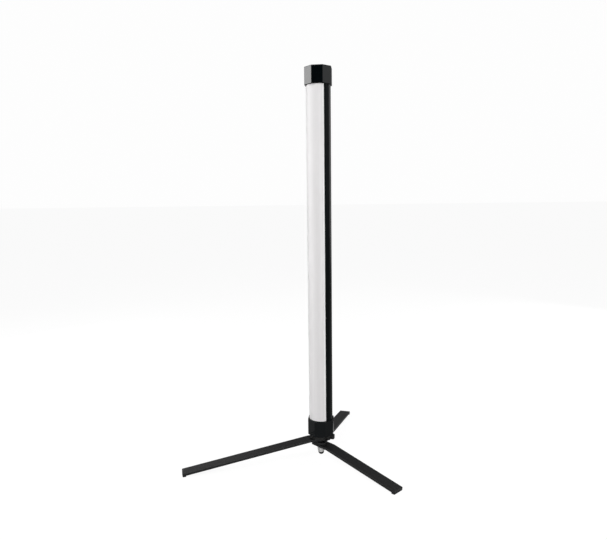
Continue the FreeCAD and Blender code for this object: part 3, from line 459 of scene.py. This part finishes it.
def loft(shape, sections):
    """Closed skin over a run of equal-sized sections, given as lists of points."""
    rings = [[shape.verts.new(point) for point in section] for section in sections]
    for ring, following in zip(rings, rings[1:]):
        for index in range(len(ring)):
            after = (index + 1) % len(ring)
            shape.faces.new((ring[index], ring[after], following[after], following[index]))
    shape.faces.new(rings[0][::-1])
    shape.faces.new(rings[-1])


# The signs' outlines are in millimetres round the middle of a key's face.

def bar(width, height, x=0.0, y=0.0):
    """A rectangle's outline round x, y."""
    w, h = width / 2, height / 2
    return [(x - w, y - h), (x + w, y - h), (x + w, y + h), (x - w, y + h)]


def arc_band(radius, width, start, end, steps=24):
    """The outline of a band along an arc; its angles are in degrees from +X."""
    angles = [math.radians(start + (end - start) * step / steps) for step in range(steps + 1)]
    outer, inner = (
        [(edge * math.cos(angle), edge * math.sin(angle)) for angle in angles]
        for edge in (radius + width / 2, radius - width / 2)
    )
    return outer + inner[::-1]


STROKE = 0.36
DASH_LENGTH = 2.6
DASH_WIDTH = 0.42
PLUS_ARM = 1.09
PLUS_ARM_MIDDLE = (DASH_WIDTH + PLUS_ARM) / 2
LINE_LENGTH = 2.5
LINE_PITCH = 0.9
SIGNS = {
    "power_button": [arc_band(1.5, STROKE, 125, 415), bar(STROKE, 1.7, 0, 1.15)],
    "minus_button": [bar(DASH_LENGTH, DASH_WIDTH)],
    "plus_button": [bar(DASH_LENGTH, DASH_WIDTH), bar(DASH_WIDTH, PLUS_ARM, 0, PLUS_ARM_MIDDLE),
                    bar(DASH_WIDTH, PLUS_ARM, 0, -PLUS_ARM_MIDDLE)],
    "mode_button": [bar(LINE_LENGTH, STROKE, 0, y) for y in (LINE_PITCH, 0, -LINE_PITCH)],
}
INK_STANDS_OUT = 0.03 * MM


def make_signs():
    """Printed signs on the four keys: thin closed shapes sunk halfway into each key's face."""
    ink = mottled("sign_ink", (0.62, 0.62, 0.6), 0.5, spot=0.3, depth=0.004)
    for button, outlines in SIGNS.items():
        out, height = outward(button)
        across = Vector((-out.y, out.x, 0))
        face = out * furthest(button, out) + Vector((0, 0, height))
        shape = bmesh.new()
        for outline in outlines:
            loft(shape, [
                [face + out * depth + across * x * MM + Vector((0, 0, y * MM)) for x, y in outline]
                for depth in (-INK_STANDS_OUT, INK_STANDS_OUT)
            ])
        new_piece(button.replace("button", "sign"), shape, button, ink)


THREAD_PITCH = 1.27 * MM
THREAD_ROOT = 3.24 * MM
THREAD_CREST = 2.7 * MM
THREAD_HALF_ROOT = 0.57 * MM
THREAD_HALF_CREST = 0.09 * MM
THREAD_MARGIN = 0.62 * THREAD_PITCH
THREAD_STEPS = 24


def make_thread():
    """The camera thread inside the top insert, a ridge that runs out at both ends."""
    (_, _, bottom), (_, _, top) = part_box("top_insert")
    run = top - bottom - 2 * THREAD_MARGIN
    count = int(run / THREAD_PITCH * THREAD_STEPS)
    sections = []
    for step in range(count + 1):
        angle = 2 * math.pi * step / THREAD_STEPS
        grown = min(1.0, (step + 1) / THREAD_STEPS, (count - step + 1) / THREAD_STEPS)
        crest = THREAD_ROOT + (THREAD_CREST - THREAD_ROOT) * grown
        rise = bottom + THREAD_MARGIN + step * THREAD_PITCH / THREAD_STEPS
        profile = ((THREAD_ROOT, -THREAD_HALF_ROOT), (crest, -THREAD_HALF_CREST),
                   (crest, THREAD_HALF_CREST), (THREAD_ROOT, THREAD_HALF_ROOT))
        sections.append([
            Vector((radius * math.cos(angle), radius * math.sin(angle), rise + z))
            for radius, z in profile
        ])
    shape = bmesh.new()
    loft(shape, sections)
    new_piece("top_thread_ridge", shape, "light", MATERIALS["brass_insert"])


make_signs()
make_thread()


# ---------------------------------------------------------------- stage, light and camera

FLOOR_REACH = 60.0
FLOOR_BOUNCE = (0.55, 0.55, 0.55)
FLOOR_SHOWN = (0.1, 0.1, 0.1)
FLOOR_GLOW = 0.93


def make_floor():
    """A plain pale floor, wide enough to run out of sight.

    The camera sees it lifted to white. What it bounces onto the object is a darker, plain grey.
    """
    mesh = bpy.data.meshes.new("floor")
    sides = ((-1, -1), (1, -1), (1, 1), (-1, 1))
    corners = [(x * FLOOR_REACH, y * FLOOR_REACH, 0) for x, y in sides]
    mesh.from_pydata(corners, [], [(0, 1, 2, 3)])
    floor = bpy.data.objects.new("floor", mesh)
    bpy.context.scene.collection.objects.link(floor)
    surface = Surface("floor_pale", FLOOR_BOUNCE, 0.8)
    looked_at = surface.node("LightPath").outputs["Is Camera Ray"]
    clouds = surface.noise(0.5, 4.0)
    bounced = surface.mix(clouds, shade(FLOOR_BOUNCE, 0.98), shade(FLOOR_BOUNCE, 1.02))
    surface.colours(looked_at, bounced, FLOOR_SHOWN)
    surface.bump(surface.noise(4 * MM, 3.0), 0.05 * MM)
    surface.set("Emission Color", (1, 1, 1, 1))
    surface.set("Emission Strength", surface.calc("MULTIPLY", looked_at, FLOOR_GLOW))
    mesh.materials.append(surface.material)


ROOM_FRONT = 0.03
ROOM_BACK = 0.15
ROOM_FADE = (-0.8, 0.2)
BACKDROP = 0.985


def make_world():
    """A dim room, darkest in front. The camera itself sees a white backdrop."""
    world = bpy.data.worlds.new("studio")
    bpy.context.scene.world = world
    world.use_nodes = True
    nodes = Nodes(world.node_tree)
    direction = nodes.node("TexCoord").outputs["Generated"]
    room = nodes.span(nodes.axes(direction)[1], *ROOM_FADE, ROOM_FRONT, ROOM_BACK)
    looked_at = nodes.node("LightPath").outputs["Is Camera Ray"]
    background = world.node_tree.nodes["Background"]
    background.inputs["Color"].default_value = (1.0, 1.0, 1.0, 1.0)
    nodes.feed(background.inputs["Strength"], nodes.mix_numbers(looked_at, room, BACKDROP))


def around(azimuth, reach, height):
    """A point at an azimuth, a distance from the tube's axis and a height."""
    turn = math.radians(azimuth)
    return Vector((math.sin(turn) * reach, -math.cos(turn) * reach, height))


def softbox(name, azimuth, reach, height, size, radiance, aim=0.4):
    """A rectangular area light that faces the tube at the height aim."""
    width, tall = size
    data = bpy.data.lights.new(name, "AREA")
    data.shape = "RECTANGLE"
    data.size = width
    data.size_y = tall
    data.energy = radiance * math.pi * width * tall
    light = bpy.data.objects.new(name, data)
    light.location = around(azimuth, reach, height)
    facing = Vector((0, 0, aim)) - light.location
    light.rotation_euler = facing.to_track_quat("-Z", "Y").to_euler()
    light.visible_camera = False
    bpy.context.scene.collection.objects.link(light)


CAMERA_PLACE = (0, -1.0859, 0.5384)
CAMERA_SENSOR = 36.0
CAMERA_LENS = 32.12
CAMERA_YAW = -1.73
CAMERA_DROP = 7.35
CAMERA_ROLL = -0.70


def make_camera():
    """Above mid-height, a good metre away, looking slightly down. Its angles are in degrees."""
    data = bpy.data.cameras.new("camera")
    data.sensor_width = CAMERA_SENSOR
    data.lens = CAMERA_LENS
    data.clip_start = 0.01
    data.clip_end = 200.0
    yaw, drop, roll = (math.radians(angle) for angle in (CAMERA_YAW, CAMERA_DROP, CAMERA_ROLL))
    level_forward = Vector((math.sin(yaw), math.cos(yaw), 0))
    forward = level_forward * math.cos(drop) - Vector((0, 0, math.sin(drop)))
    level_right = Vector((math.cos(yaw), -math.sin(yaw), 0))
    level_up = level_right.cross(forward)
    right = level_right * math.cos(roll) + level_up * math.sin(roll)
    up = level_up * math.cos(roll) - level_right * math.sin(roll)
    turn = Matrix((right, up, -forward)).transposed()
    camera = bpy.data.objects.new("camera", data)
    camera.matrix_world = Matrix.LocRotScale(Vector(CAMERA_PLACE), turn.to_quaternion(), None)
    bpy.context.scene.collection.objects.link(camera)
    bpy.context.scene.camera = camera


make_floor()
make_world()
softbox("left_strip", azimuth=-101.0, reach=1.6, height=0.95, size=(0.24, 1.3), radiance=11.1)
softbox("left_fill", azimuth=-72.0, reach=1.7, height=0.35, size=(0.3, 0.9), radiance=4.0, aim=0.3)
softbox("right_card", azimuth=80.0, reach=1.8, height=1.0, size=(0.7, 1.3), radiance=1.6)
softbox("top_box", azimuth=-20.0, reach=1.5, height=2.1, size=(1.6, 1.0), radiance=5.2)
softbox("front_fill", azimuth=20.0, reach=2.0, height=0.5, size=(0.5, 1.1), radiance=7.4)
softbox("back_left", azimuth=-148.0, reach=1.8, height=0.95, size=(0.8, 0.8), radiance=0.55)
softbox("back_strip", azimuth=-132.0, reach=1.6, height=0.42, size=(0.2, 0.84), radiance=2.2)
softbox("right_high", azimuth=106.0, reach=1.5, height=1.6, size=(0.9, 0.6), radiance=2.0)
softbox("back_right", azimuth=132.0, reach=1.9, height=0.8, size=(0.9, 1.2), radiance=2.4)
make_camera()
bpy.context.scene.view_settings.view_transform = "Standard"
